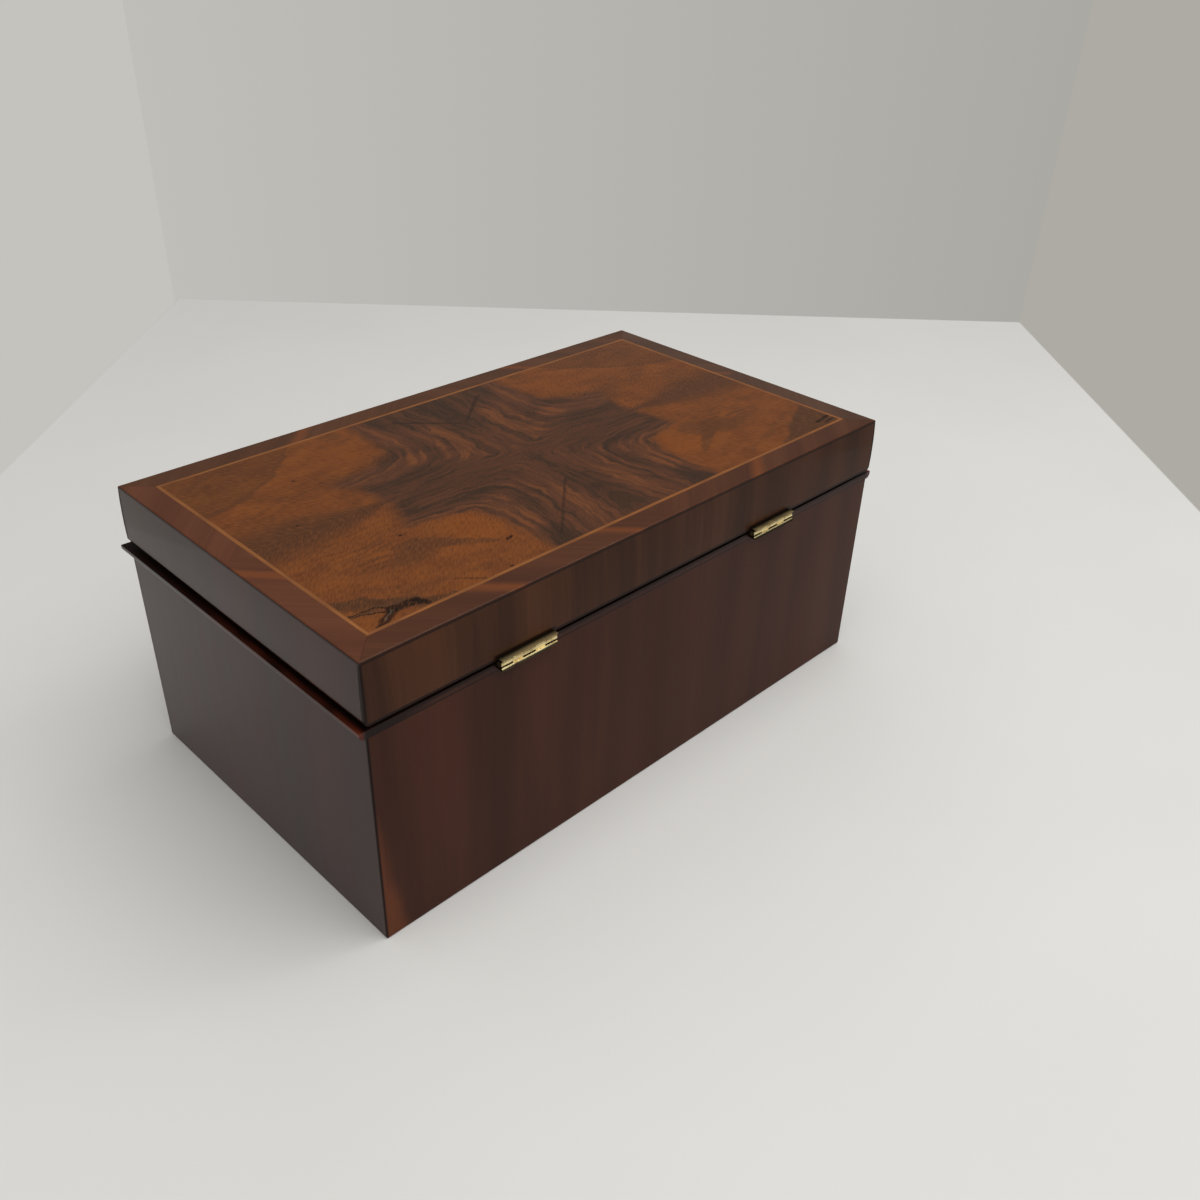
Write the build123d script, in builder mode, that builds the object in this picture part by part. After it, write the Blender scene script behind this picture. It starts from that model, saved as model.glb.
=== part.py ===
from build123d import *
from math import atan, degrees, radians, tan
import os

# A veneered walnut box with a lid on two brass stop hinges and a small box lock.
# Millimetres. The origin is the centre of the underside, the front faces -Y, the
# hinges are at +Y, and left and right are as seen from the front.

# Outside of the box
length = 300.0
depth = 172.0
body_height = 102.7
lid_gap = 1.7
lid_height = 26.6
bottom_easing = 0.8
corner_easing = 0.5

# Boards and veneers
board = 8.0
base_thickness = 6.0
panel_thickness = 6.0
veneer = 1.0
pin_width = 6.5
dovetail_slope = 1 / 6
body_tails = 4
lid_tails = 1

# Rim moulding: a thumbnail nose that stands out past the front and the ends
rim_thickness = 3.4
nose_reach = 2.9
nose_thickness = 1.2
nose_quirk = 0.5

# Lid: its sides are bowed, and its lower edge is rounded except at the back
lid_belly = 0.5
lid_skirt = 0.4
lid_rounding = 2.0
lid_arris = 0.8
crossband_width = 11.0
stringing_width = 1.8
seam_offset = 1.5

# Lining boards that stand above the rim as a lip, and the pads
lining = 2.5
lip_height = 3.3
lip_clearance = 0.4
pad_thickness = 2.5
pad_easing = 1.0
pad_clearance = 0.3

# Stop hinges
right_hinge_from_end = 72.0
left_hinge_from_end = 79.3
hinge_length = 28.2
leaf_width = 7.6
leaf_thickness = 1.0
knuckles = 5
knuckle_radius = 1.2
knuckle_gap = 0.12
web_width = 1.8
leaf_clearance = 0.1
barrel_standoff = 0.4
stop_angle = 95.0
hinge_pin_radius = 0.6
running_clearance = 0.05
drive_clearance = 0.01
recess_clearance = 0.1

# Brass wood screws
screw_sides = 12
screw_point = 2.0
screw_tip_radius = 0.3
sink_angle = 90.0
hinge_screw_radius = 1.0
hinge_screw_head = 1.9
hinge_screw_length = 8.5
hinge_screw_edge = 4.2
hinge_screw_spacing = 9.5
lock_screw_radius = 0.8
lock_screw_head = 1.4
lock_screw_length = 6.0
screw_clearance = 0.02

# Box lock, let into the back of the front board
lock_height = 25.0
lock_flange = 3.0
case_foot = 2.3
case_wall = 0.8
lock_inset = 2.6
lock_plate_thickness = 1.2
selvedge_thickness = 1.5
lock_screw_low = 2.5
lock_screw_high = 18.5
key_drop = 5.4
key_radius = 2.0
key_slot_width = 1.8
key_slot_length = 3.4
drill_pin_radius = 0.8

# Lock bolt and the link plate that it holds
bolt_travel = 3.0
bolt_thickness = 1.8
bar_thickness = 4.0
bar_height = 5.0
bar_clearance = 0.8
bolt_end_clearance = 0.6
nose_height = 1.8
nose_length = 3.0
nose_gap = 0.5
nose_drop = 3.0
post_width = 2.1
talon_width = 3.8
talon_height = 2.0
stump_radius = 1.0
stump_offset = -4.0
link_length = 27.0
link_width = 5.6
link_thickness = 1.2
link_screw_side = 2.3
lug_thickness = 1.8
lug_depth = 3.4
lug_spacing = 10.0
lug_offset = 1.3
lug_lip = 1.2
window_clearance = 0.4
lug_clearance = 0.5

# Levels and faces that follow from the sizes above
half_length = length / 2
half_depth = depth / 2
board_top = body_height - rim_thickness
lid_bottom = body_height + lid_gap
lid_top = lid_bottom + lid_height
ground_top = lid_top - veneer
panel_bottom = ground_top - panel_thickness
lip_top = body_height + lip_height
wall = veneer + board
rail = board - lip_clearance
lining_face = wall + lining
lid_wall = veneer + rail

half_gap = knuckle_radius + leaf_clearance
axis_y = half_depth + knuckle_radius + barrel_standoff
axis_z = lid_bottom - half_gap
knuckle_length = hinge_length / knuckles
leaf_top = axis_z - half_gap
right_hinge = half_length - right_hinge_from_end
left_hinge = left_hinge_from_end - half_length

lock_foot = body_height - lock_height
case_bottom = lock_foot + case_foot
selvedge_bottom = body_height - selvedge_thickness
plate_face = wall - lock_plate_thickness
case_inside = lock_inset + case_wall
cavity_middle = (case_inside + plate_face) / 2
nose_middle = selvedge_bottom - nose_drop
window_height = nose_height + 2 * window_clearance
lug_bottom = nose_middle - window_height / 2 - lug_lip
bar_top = lug_bottom - bar_clearance
bar_bottom = bar_top - bar_height
key_height = bar_bottom - key_drop
lug_middles = [lug_offset - lug_spacing / 2, lug_offset + lug_spacing / 2]
nose_tips = [lug_x - lug_thickness / 2 - nose_gap for lug_x in lug_middles]
bar_left = nose_tips[0] - nose_length - post_width
case_half = case_wall + bolt_end_clearance - bar_left
plate_half = case_half + lock_flange


def from_front(distance):
    """The Y of a point this far in from the front face."""
    return -half_depth + distance


def block(x, y, z, mode=Mode.ADD):
    """A block between two values along each axis, given in either order."""
    spans = [sorted(pair) for pair in (x, y, z)]
    with Locations(tuple(low for low, high in spans)):
        Box(*(high - low for low, high in spans), align=Align.MIN, mode=mode)


def slab(corners, low, high, mode=Mode.ADD):
    """A flat piece with this plan, between two heights."""
    with BuildSketch(Plane.XY.offset(low)) as plan:
        with BuildLine():
            Polyline(*corners, close=True)
        make_face()
    extrude(plan.sketch, amount=high - low, mode=mode)


def mitred_plan(side, outer, inner):
    """Plan of one side of a mitred frame that lies between two distances in from the faces."""
    x_out = half_length - outer
    y_out = half_depth - outer
    x_in = half_length - inner
    y_in = half_depth - inner
    if side in ("front", "back"):
        way = -1 if side == "front" else 1
        return [(-x_out, way * y_out), (x_out, way * y_out), (x_in, way * y_in), (-x_in, way * y_in)]
    way = -1 if side == "left" else 1
    return [(way * x_out, -y_out), (way * x_out, y_out), (way * x_in, y_in), (way * x_in, -y_in)]


def tail_faces(plane, low, high, count, root_y, tip_y):
    """Dovetails of one corner seen from the end: narrow at the root, wide at the tip."""
    pitch = (high - low) / count
    half_tip = (pitch - pin_width) / 2
    half_root = half_tip - abs(tip_y - root_y) * dovetail_slope
    with BuildSketch(plane) as faces:
        for row in range(count):
            middle = low + pitch * (row + 0.5)
            with BuildLine():
                Polyline(
                    (root_y, middle - half_root),
                    (tip_y, middle - half_tip),
                    (tip_y, middle + half_tip),
                    (root_y, middle + half_root),
                    close=True,
                )
            make_face()
    return faces.sketch


def end_board(side, low, high, thickness, tails):
    """A left (-1) or right (1) board, with its tails at both ends."""
    inner_x = half_length - veneer - thickness
    root_y = half_depth - veneer - thickness
    with BuildPart() as made:
        block(
            (side * inner_x, side * (inner_x + thickness)),
            (-root_y, root_y),
            (low, high),
        )
        for end in (-1, 1):
            plane = Plane.YZ.offset(side * inner_x)
            faces = tail_faces(plane, low, high, tails, end * root_y, end * (root_y + thickness))
            extrude(faces, amount=side * thickness)
    return made


def long_board(side, low, high, thickness, tails):
    """A front (-1) or back (1) board, with sockets for the tails at both ends."""
    outer_x = half_length - veneer
    root_y = half_depth - veneer - thickness
    with BuildPart() as made:
        block((-outer_x, outer_x), (side * root_y, side * (root_y + thickness)), (low, high))
        for end in (-1, 1):
            plane = Plane.YZ.offset(end * (outer_x - thickness))
            faces = tail_faces(plane, low, high, tails, side * root_y, side * (root_y + thickness))
            extrude(faces, amount=end * thickness, mode=Mode.SUBTRACT)
    return made


def nose_section(outward):
    """Upright section of the rim moulding: flat top, thumbnail nose, outward from the wall."""
    face = half_length if outward.X else half_depth
    plane = Plane(outward * face, x_dir=outward, z_dir=outward.cross(Vector(0, 0, 1)))
    with BuildSketch(plane) as section:
        with BuildLine():
            under = Polyline(
                (nose_reach, board_top + rim_thickness - nose_thickness),
                (nose_reach, body_height),
                (-wall, body_height),
                (-wall, board_top),
                (nose_quirk, board_top),
            )
            TangentArc(under @ 1, under @ 0, tangent=(1, 0))
        make_face()
    return section.sketch


def moulding(side, outward):
    """One mitred length of the rim moulding. The end lengths are cut flush at the back."""
    plan = mitred_plan(side, -nose_reach, wall)
    if outward.X:
        way = outward.X
        inner = plan[2]
        plan = [
            plan[0],
            (way * (half_length + nose_reach), half_depth),
            (way * half_length, half_depth),
            inner,
            plan[3],
        ]
    run = depth if outward.X else length
    with BuildPart() as made:
        slab(plan, board_top, body_height)
        extrude(nose_section(outward), amount=run, both=True, mode=Mode.INTERSECT)
    return made


def lid_section(plane, half):
    """Upright section of the lid: flat top and underside between two bowed sides."""
    middle = (lid_bottom + lid_top) / 2
    with BuildSketch(plane) as section:
        with BuildLine():
            Line((-half, lid_top), (half, lid_top))
            ThreePointArc(
                (half, lid_top), (half + lid_belly, middle), (half + lid_skirt, lid_bottom)
            )
            Line((half + lid_skirt, lid_bottom), (-half - lid_skirt, lid_bottom))
            ThreePointArc(
                (-half - lid_skirt, lid_bottom), (-half - lid_belly, middle), (-half, lid_top)
            )
        make_face()
    return section.sketch


# Outer forms that the veneers are dressed to after gluing
with BuildPart() as body_form:
    Box(length, depth, board_top, align=(Align.CENTER, Align.CENTER, Align.MIN))
    fillet(body_form.edges().filter_by(Axis.Z), corner_easing)
    fillet(body_form.faces().sort_by(Axis.Z)[0].edges(), bottom_easing)

with BuildPart() as lid_form:
    extrude(lid_section(Plane.YZ, half_depth), amount=length, both=True)
    long_side = Plane(origin=(0, 0, 0), x_dir=(1, 0, 0), z_dir=(0, -1, 0))
    extrude(
        lid_section(long_side, half_length), amount=depth, both=True, mode=Mode.INTERSECT
    )
    fillet(lid_form.faces().sort_by(Axis.Z)[-1].edges(), lid_arris)
    all_but_back = lid_form.faces().sort_by(Axis.Z)[0].edges().sort_by(Axis.Y)[:-1]
    fillet(all_but_back, lid_rounding)


def body_veneer(x, y):
    """A sheet of sawn veneer on the body, dressed to the body's eased outline."""
    with BuildPart() as sheet:
        block(x, y, (0, board_top))
        add(body_form.part, mode=Mode.INTERSECT)
    return sheet


def hinge_recess(hinge_x, low, high):
    """Cuts the housing of one leaf, open at the back."""
    reach = hinge_length / 2 + recess_clearance
    inner = half_depth - leaf_width - recess_clearance
    block(
        (hinge_x - reach, hinge_x + reach),
        (inner, half_depth + leaf_width),
        (low, high),
        mode=Mode.SUBTRACT,
    )


def hinge_screw_places(up):
    """Planes at the screw heads of both hinges. They face out of the wood: up is 1 for the lid."""
    height = axis_z + up * half_gap
    return [
        Plane(
            origin=(hinge_x + step * hinge_screw_spacing, half_depth - hinge_screw_edge, height),
            x_dir=(1, 0, 0),
            z_dir=(0, 0, -up),
        )
        for hinge_x in (left_hinge, right_hinge)
        for step in (-1, 0, 1)
    ]


def screw_stretch(start, end, start_radius, taper):
    """A faceted stretch of a screw between two depths, narrowing at this angle."""
    level = Plane((0, 0, -start), z_dir=(0, 0, -1))
    with BuildPart() as stretch:
        with BuildSketch(level) as outline:
            RegularPolygon(start_radius, screw_sides, major_radius=False)
        extrude(outline.sketch, amount=end - start)
        if taper:
            draft(stretch.faces().filter_by(Axis.Z, reverse=True), level, taper)
    return stretch.part


def screw_form(radius, head, screw_length):
    """A countersunk wood screw in the round, with the top of its head at the origin."""
    head_height = (head - radius) / tan(radians(sink_angle / 2))
    shank_end = screw_length - screw_point
    point_taper = degrees(atan((radius - screw_tip_radius) / screw_point))
    stretches = [
        screw_stretch(0, head_height, head, sink_angle / 2),
        screw_stretch(head_height, shank_end, radius, 0),
        screw_stretch(shank_end, screw_length, radius, point_taper),
    ]
    with BuildPart() as screw:
        add(stretches)
    return screw


hinge_screw = screw_form(hinge_screw_radius, hinge_screw_head, hinge_screw_length)
hinge_screw_hole = screw_form(
    hinge_screw_radius + screw_clearance, hinge_screw_head + screw_clearance, hinge_screw_length
)
lock_screw = screw_form(lock_screw_radius, lock_screw_head, lock_screw_length)
lock_screw_hole = screw_form(
    lock_screw_radius + screw_clearance, lock_screw_head + screw_clearance, lock_screw_length
)


def screw_holes(places, hole):
    """Countersunk holes for screws with their heads at these planes."""
    with Locations(*places):
        add(hole.part, mode=Mode.SUBTRACT)


def screw_group(screw, places):
    """Copies of one screw, each with its head at its own place."""
    with BuildPart() as group:
        with Locations(*places):
            add(screw.part)
    return group


# Places of the lock's screws: four in its plate, two in the link plate
lock_screw_places = [
    Plane(
        origin=(way * (case_half + lock_flange / 2), from_front(wall), lock_foot + rise),
        x_dir=(1, 0, 0),
        z_dir=(0, 1, 0),
    )
    for way in (-1, 1)
    for rise in (lock_screw_low, lock_screw_high)
]
link_middle = lock_inset + link_width / 2
link_screw_places = [
    Plane(
        origin=(way * (link_length / 2 - link_screw_side), from_front(link_middle), lid_bottom),
        x_dir=(1, 0, 0),
        z_dir=(0, 0, -1),
    )
    for way in (-1, 1)
]


def lock_mortise():
    """Cuts the lock's place: the plate's recess, the case's deeper mortise and the selvedge's."""
    inside = from_front(wall)
    face = from_front(plate_face)
    front = from_front(lock_inset)
    block((-plate_half, plate_half), (face, inside), (lock_foot, body_height), mode=Mode.SUBTRACT)
    block((-case_half, case_half), (front, face), (case_bottom, body_height), mode=Mode.SUBTRACT)
    block(
        (-plate_half, plate_half),
        (front, face),
        (selvedge_bottom, body_height),
        mode=Mode.SUBTRACT,
    )


def keyhole():
    """Cuts the keyhole back from the front face."""
    with BuildSketch(Plane.XZ.offset(half_depth)) as hole:
        with Locations((0, key_height)):
            Circle(key_radius)
        with Locations((0, key_height - key_slot_length / 2)):
            Rectangle(key_slot_width, key_slot_length + key_radius)
    extrude(hole.sketch, amount=-case_inside, mode=Mode.SUBTRACT)


# Body boards: a dovetailed frame that stands on the planted base
with BuildPart() as base_board:
    block(
        (veneer - half_length, half_length - veneer),
        (veneer - half_depth, half_depth - veneer),
        (0, base_thickness),
    )

left_board = end_board(-1, base_thickness, board_top, board, body_tails)
right_board = end_board(1, base_thickness, board_top, board, body_tails)

with BuildPart() as front_board:
    add(long_board(-1, base_thickness, board_top, board, body_tails).part)
    lock_mortise()
    keyhole()
    screw_holes(lock_screw_places, lock_screw_hole)

with BuildPart() as back_board:
    add(long_board(1, base_thickness, board_top, board, body_tails).part)
    for hinge_x in (left_hinge, right_hinge):
        hinge_recess(hinge_x, leaf_top - leaf_thickness, body_height + lid_gap)
    screw_holes(hinge_screw_places(-1), hinge_screw_hole)

# Body veneers: the ends are laid first, then the front and the back over their edges
left_veneer = body_veneer((-half_length, veneer - half_length), (veneer - half_depth, half_depth - veneer))
right_veneer = body_veneer((half_length - veneer, half_length), (veneer - half_depth, half_depth - veneer))
back_veneer = body_veneer((-half_length, half_length), (half_depth - veneer, half_depth))
with BuildPart() as front_veneer:
    add(body_veneer((-half_length, half_length), (-half_depth, veneer - half_depth)).part)
    keyhole()

# Rim: mitred mouldings on the front and ends, and a flush strip along the back
with BuildPart() as front_moulding:
    add(moulding("front", Vector(0, -1, 0)).part)
    lock_mortise()
left_moulding = moulding("left", Vector(-1, 0, 0))
right_moulding = moulding("right", Vector(1, 0, 0))
with BuildPart() as back_edge_strip:
    slab(mitred_plan("back", 0, wall), board_top, body_height)
    for hinge_x in (left_hinge, right_hinge):
        hinge_recess(hinge_x, leaf_top - leaf_thickness, body_height + lid_gap)
    screw_holes(hinge_screw_places(-1), hinge_screw_hole)


def lining_board(side, outer, low, high):
    """One mitred lining board on the inside of the walls."""
    with BuildPart() as made:
        slab(mitred_plan(side, outer, lining_face), low, high)
    return made


def pad(low, up):
    """A velvet-covered pad between the lining boards, crowned away from the wood it lies on."""
    inset = lining_face + pad_clearance
    with BuildPart() as made:
        block(
            (inset - half_length, half_length - inset),
            (inset - half_depth, half_depth - inset),
            (low, low + pad_thickness),
        )
        shown = made.faces().sort_by(Axis.Z)[-1 if up else 0]
        fillet(shown.edges(), pad_easing)
    return made


sides = ("front", "back", "left", "right")
body_linings = {side: lining_board(side, wall, base_thickness, lip_top) for side in sides}
lid_linings = {side: lining_board(side, lid_wall, lip_top, panel_bottom) for side in sides}
floor_pad = pad(base_thickness, True)
lid_pad = pad(panel_bottom - pad_thickness, False)

# Lid frame: a panel planted on four dovetailed rails
with BuildPart() as lid_panel:
    block(
        (veneer - half_length, half_length - veneer),
        (veneer - half_depth, half_depth - veneer),
        (panel_bottom, ground_top),
    )

with BuildPart() as lid_left_rail:
    add(end_board(-1, lid_bottom, panel_bottom, rail, lid_tails).part)
    add(lid_form.part, mode=Mode.INTERSECT)
with BuildPart() as lid_right_rail:
    add(end_board(1, lid_bottom, panel_bottom, rail, lid_tails).part)
    add(lid_form.part, mode=Mode.INTERSECT)
with BuildPart() as lid_front_rail:
    add(long_board(-1, lid_bottom, panel_bottom, rail, lid_tails).part)
    add(lid_form.part, mode=Mode.INTERSECT)
    block(
        (-link_length / 2, link_length / 2),
        (from_front(lock_inset), from_front(lock_inset + link_width)),
        (lid_bottom, lid_bottom + link_thickness),
        mode=Mode.SUBTRACT,
    )
    screw_holes(link_screw_places, lock_screw_hole)
with BuildPart() as lid_back_rail:
    add(long_board(1, lid_bottom, panel_bottom, rail, lid_tails).part)
    for hinge_x in (left_hinge, right_hinge):
        hinge_recess(hinge_x, lid_bottom - lid_gap, lid_bottom + leaf_thickness)
    screw_holes(hinge_screw_places(1), hinge_screw_hole)


def lid_veneer(x, y):
    """A sheet of veneer on the lid's side, dressed to its bowed outline."""
    with BuildPart() as sheet:
        block(x, y, (lid_bottom, ground_top))
        add(lid_form.part, mode=Mode.INTERSECT)
    return sheet


past_length = half_length + 2 * lid_belly
past_depth = half_depth + 2 * lid_belly
lid_left_veneer = lid_veneer((-past_length, veneer - half_length), (veneer - half_depth, half_depth - veneer))
lid_right_veneer = lid_veneer((past_length, half_length - veneer), (veneer - half_depth, half_depth - veneer))
lid_front_veneer = lid_veneer((-past_length, past_length), (-past_depth, veneer - half_depth))
with BuildPart() as lid_back_veneer:
    add(lid_veneer((-past_length, past_length), (past_depth, half_depth - veneer)).part)
    for hinge_x in (left_hinge, right_hinge):
        hinge_recess(hinge_x, lid_bottom - lid_gap, lid_bottom + leaf_thickness)


def top_strip(side, outer, inner):
    """A mitred strip of the lid's top veneer, dressed to the lid's outline."""
    with BuildPart() as strip:
        slab(mitred_plan(side, outer, inner), ground_top, lid_top)
        add(lid_form.part, mode=Mode.INTERSECT)
    return strip


def field_quarter(across, along):
    """One of the four matched leaves of the figured field, meeting at the seams."""
    inset = crossband_width + stringing_width
    with BuildPart() as leaf:
        block(
            (seam_offset, across * (half_length - inset)),
            (0, along * (half_depth - inset)),
            (ground_top, lid_top),
        )
    return leaf


crossbands = {side: top_strip(side, -2 * lid_belly, crossband_width) for side in sides}
stringings = {
    side: top_strip(side, crossband_width, crossband_width + stringing_width) for side in sides
}
fields = {
    "front_left_field": field_quarter(-1, -1),
    "front_right_field": field_quarter(1, -1),
    "back_left_field": field_quarter(-1, 1),
    "back_right_field": field_quarter(1, 1),
}


def hinge_leaf(hinge_x, up):
    """A stop hinge leaf: up is 1 for the lid's leaf, with the outer and middle knuckles.

    Its flange runs on behind the barrel and ends on a plane through the pin, half the stop
    angle from the leaf, so that the two flanges meet face to face when the lid is open.
    """
    start = hinge_x - hinge_length / 2
    near = axis_z + up * half_gap
    far = near + up * leaf_thickness
    slant = tan(radians(stop_angle / 2))
    bore = hinge_pin_radius + (drive_clearance if up > 0 else running_clearance)
    with BuildPart() as leaf:
        with BuildSketch(Plane.YZ.offset(start)) as section:
            with BuildLine():
                Polyline(
                    (half_depth - leaf_width, near),
                    (axis_y + half_gap / slant, near),
                    (axis_y + (half_gap + leaf_thickness) / slant, far),
                    (half_depth - leaf_width, far),
                    close=True,
                )
            make_face()
        extrude(section.sketch, amount=hinge_length)
        for number in range(0 if up > 0 else 1, knuckles, 2):
            knuckle_start = start + number * knuckle_length + knuckle_gap / 2
            with BuildSketch(Plane.YZ.offset(knuckle_start)) as knuckle:
                with Locations((axis_y, axis_z)):
                    Circle(knuckle_radius)
                with Locations((axis_y, axis_z + up * half_gap / 2)):
                    Rectangle(web_width, half_gap)
                with Locations((axis_y, axis_z)):
                    Circle(bore, mode=Mode.SUBTRACT)
            extrude(knuckle.sketch, amount=knuckle_length - knuckle_gap)
        screw_holes(hinge_screw_places(up), hinge_screw_hole)
    return leaf


def hinge_pin(hinge_x):
    """The pin through the five knuckles, driven tight into the lid's."""
    with BuildPart() as pin:
        with Locations(Plane((hinge_x, axis_y, axis_z), x_dir=(0, 1, 0), z_dir=(1, 0, 0))):
            Cylinder(hinge_pin_radius, hinge_length - knuckle_gap)
    return pin


body_hinge_screws = screw_group(hinge_screw, hinge_screw_places(-1))
lid_hinge_screws = screw_group(hinge_screw, hinge_screw_places(1))
lock_screws = screw_group(lock_screw, lock_screw_places)
link_screws = screw_group(lock_screw, link_screw_places)

# Lock plate: an upright plate with the selvedge across its top. It carries the drill pin
# for the key and the stump that the bolt slides on.
stump_middle = (bar_top + bar_bottom) / 2 + talon_height / 4
with BuildPart() as lock_plate:
    block(
        (-plate_half, plate_half),
        (from_front(plate_face), from_front(wall)),
        (lock_foot, body_height),
    )
    block(
        (-plate_half, plate_half),
        (from_front(lock_inset), from_front(plate_face)),
        (selvedge_bottom, body_height),
    )
    for lug_x in lug_middles:
        reach = lug_thickness / 2 + lug_clearance
        block(
            (lug_x - reach, lug_x + reach),
            (from_front(cavity_middle - lug_depth / 2 - lug_clearance), from_front(plate_face)),
            (selvedge_bottom, body_height),
            mode=Mode.SUBTRACT,
        )
    screw_holes(lock_screw_places, lock_screw_hole)
    studs = Plane((0, from_front(plate_face), 0), x_dir=(1, 0, 0), z_dir=(0, -1, 0))
    with BuildSketch(studs) as drill_pin:
        with Locations((0, key_height)):
            Circle(drill_pin_radius)
    extrude(drill_pin.sketch, amount=plate_face - lock_inset)
    with BuildSketch(studs) as stump:
        with Locations((stump_offset, stump_middle)):
            Circle(stump_radius)
    extrude(stump.sketch, amount=plate_face - case_inside)

# Lock case: a shallow tray, open at the top and towards the plate
with BuildPart() as lock_case:
    block(
        (-case_half, case_half),
        (from_front(lock_inset), from_front(plate_face)),
        (case_bottom, selvedge_bottom),
    )
    block(
        (case_wall - case_half, case_half - case_wall),
        (from_front(case_inside), from_front(plate_face)),
        (case_bottom + case_wall, selvedge_bottom),
        mode=Mode.SUBTRACT,
    )
    keyhole()

# Bolt: a thick bar with two hooks whose noses slide sideways through the link's lugs
with BuildPart() as lock_bolt:
    upright = Plane((0, from_front(cavity_middle), 0), x_dir=(1, 0, 0), z_dir=(0, -1, 0))
    with BuildSketch(upright) as bar:
        with BuildLine():
            Polyline(
                (bar_left, bar_bottom),
                (nose_tips[1], bar_bottom),
                (nose_tips[1], bar_top),
                (bar_left, bar_top),
                close=True,
            )
        make_face()
        with Locations((0, bar_bottom + talon_height / 2)):
            Rectangle(talon_width, talon_height, mode=Mode.SUBTRACT)
        with Locations((stump_offset - bolt_travel / 2, stump_middle)):
            SlotCenterToCenter(
                bolt_travel, 2 * (stump_radius + running_clearance), mode=Mode.SUBTRACT
            )
    extrude(bar.sketch, amount=bar_thickness / 2, both=True)
    for tip in nose_tips:
        post_right = tip - nose_length
        with BuildSketch(upright) as hook:
            with BuildLine():
                Polyline(
                    (post_right - post_width, bar_top),
                    (post_right, bar_top),
                    (post_right, nose_middle - nose_height / 2),
                    (tip, nose_middle - nose_height / 2),
                    (tip, nose_middle + nose_height / 2),
                    (post_right - post_width, nose_middle + nose_height / 2),
                    close=True,
                )
            make_face()
        extrude(hook.sketch, amount=bolt_thickness / 2, both=True)

# Link plate: let into the lid's front rail, with two windowed lugs
with BuildPart() as link_plate:
    block(
        (-link_length / 2, link_length / 2),
        (from_front(lock_inset), from_front(lock_inset + link_width)),
        (lid_bottom, lid_bottom + link_thickness),
    )
    for lug_x in lug_middles:
        thick = (lug_x - lug_thickness / 2, lug_x + lug_thickness / 2)
        window = bolt_thickness / 2 + window_clearance
        block(
            thick,
            (
                from_front(cavity_middle - lug_depth / 2),
                from_front(cavity_middle + lug_depth / 2),
            ),
            (lug_bottom, lid_bottom),
        )
        block(
            thick,
            (from_front(cavity_middle - window), from_front(cavity_middle + window)),
            (nose_middle - window_height / 2, nose_middle + window_height / 2),
            mode=Mode.SUBTRACT,
        )
    screw_holes(link_screw_places, lock_screw_hole)

pieces = {
    "base_board": base_board,
    "front_board": front_board,
    "back_board": back_board,
    "left_board": left_board,
    "right_board": right_board,
    "front_veneer": front_veneer,
    "back_veneer": back_veneer,
    "left_veneer": left_veneer,
    "right_veneer": right_veneer,
    "front_moulding": front_moulding,
    "left_moulding": left_moulding,
    "right_moulding": right_moulding,
    "back_edge_strip": back_edge_strip,
    "floor_pad": floor_pad,
    "lid_panel": lid_panel,
    "lid_front_rail": lid_front_rail,
    "lid_back_rail": lid_back_rail,
    "lid_left_rail": lid_left_rail,
    "lid_right_rail": lid_right_rail,
    "lid_front_veneer": lid_front_veneer,
    "lid_back_veneer": lid_back_veneer,
    "lid_left_veneer": lid_left_veneer,
    "lid_right_veneer": lid_right_veneer,
    "lid_pad": lid_pad,
    "right_hinge_body_leaf": hinge_leaf(right_hinge, -1),
    "left_hinge_body_leaf": hinge_leaf(left_hinge, -1),
    "right_hinge_lid_leaf": hinge_leaf(right_hinge, 1),
    "left_hinge_lid_leaf": hinge_leaf(left_hinge, 1),
    "right_hinge_pin": hinge_pin(right_hinge),
    "left_hinge_pin": hinge_pin(left_hinge),
    "body_hinge_screws": body_hinge_screws,
    "lid_hinge_screws": lid_hinge_screws,
    "lock_plate": lock_plate,
    "lock_case": lock_case,
    "lock_screws": lock_screws,
    "lock_bolt": lock_bolt,
    "link_plate": link_plate,
    "link_screws": link_screws,
    **fields,
}
for side in sides:
    pieces[f"{side}_lining"] = body_linings[side]
    pieces[f"lid_{side}_lining"] = lid_linings[side]
    pieces[f"{side}_crossband"] = crossbands[side]
    pieces[f"{side}_stringing"] = stringings[side]

os.makedirs("parts", exist_ok=True)
for name, piece in pieces.items():
    piece.part.label = name
    export_step(piece.part, f"parts/{name}.step")
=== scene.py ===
import math

import bmesh
import bpy
import numpy as np
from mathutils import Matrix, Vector


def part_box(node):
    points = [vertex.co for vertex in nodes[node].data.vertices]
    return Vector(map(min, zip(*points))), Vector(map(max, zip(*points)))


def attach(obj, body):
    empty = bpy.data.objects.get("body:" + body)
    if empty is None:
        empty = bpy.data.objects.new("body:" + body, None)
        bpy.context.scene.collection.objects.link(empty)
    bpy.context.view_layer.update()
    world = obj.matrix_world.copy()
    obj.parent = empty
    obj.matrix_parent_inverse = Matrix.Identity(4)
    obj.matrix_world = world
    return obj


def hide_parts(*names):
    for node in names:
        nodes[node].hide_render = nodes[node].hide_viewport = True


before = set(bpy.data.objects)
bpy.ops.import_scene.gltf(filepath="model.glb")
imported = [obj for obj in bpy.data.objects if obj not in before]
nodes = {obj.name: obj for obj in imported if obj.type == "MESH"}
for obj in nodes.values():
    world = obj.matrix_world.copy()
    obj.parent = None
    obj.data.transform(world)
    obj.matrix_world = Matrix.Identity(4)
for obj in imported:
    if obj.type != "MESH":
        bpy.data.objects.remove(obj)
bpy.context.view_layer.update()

# Carcase. The body is a frame of planed softwood boards, dovetailed at the corners and glued
# down on a base board, and the lid is a panel glued on four thinner rails. The wood is bare,
# and shows only underneath and in the joint between the lid and the body.


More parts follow.
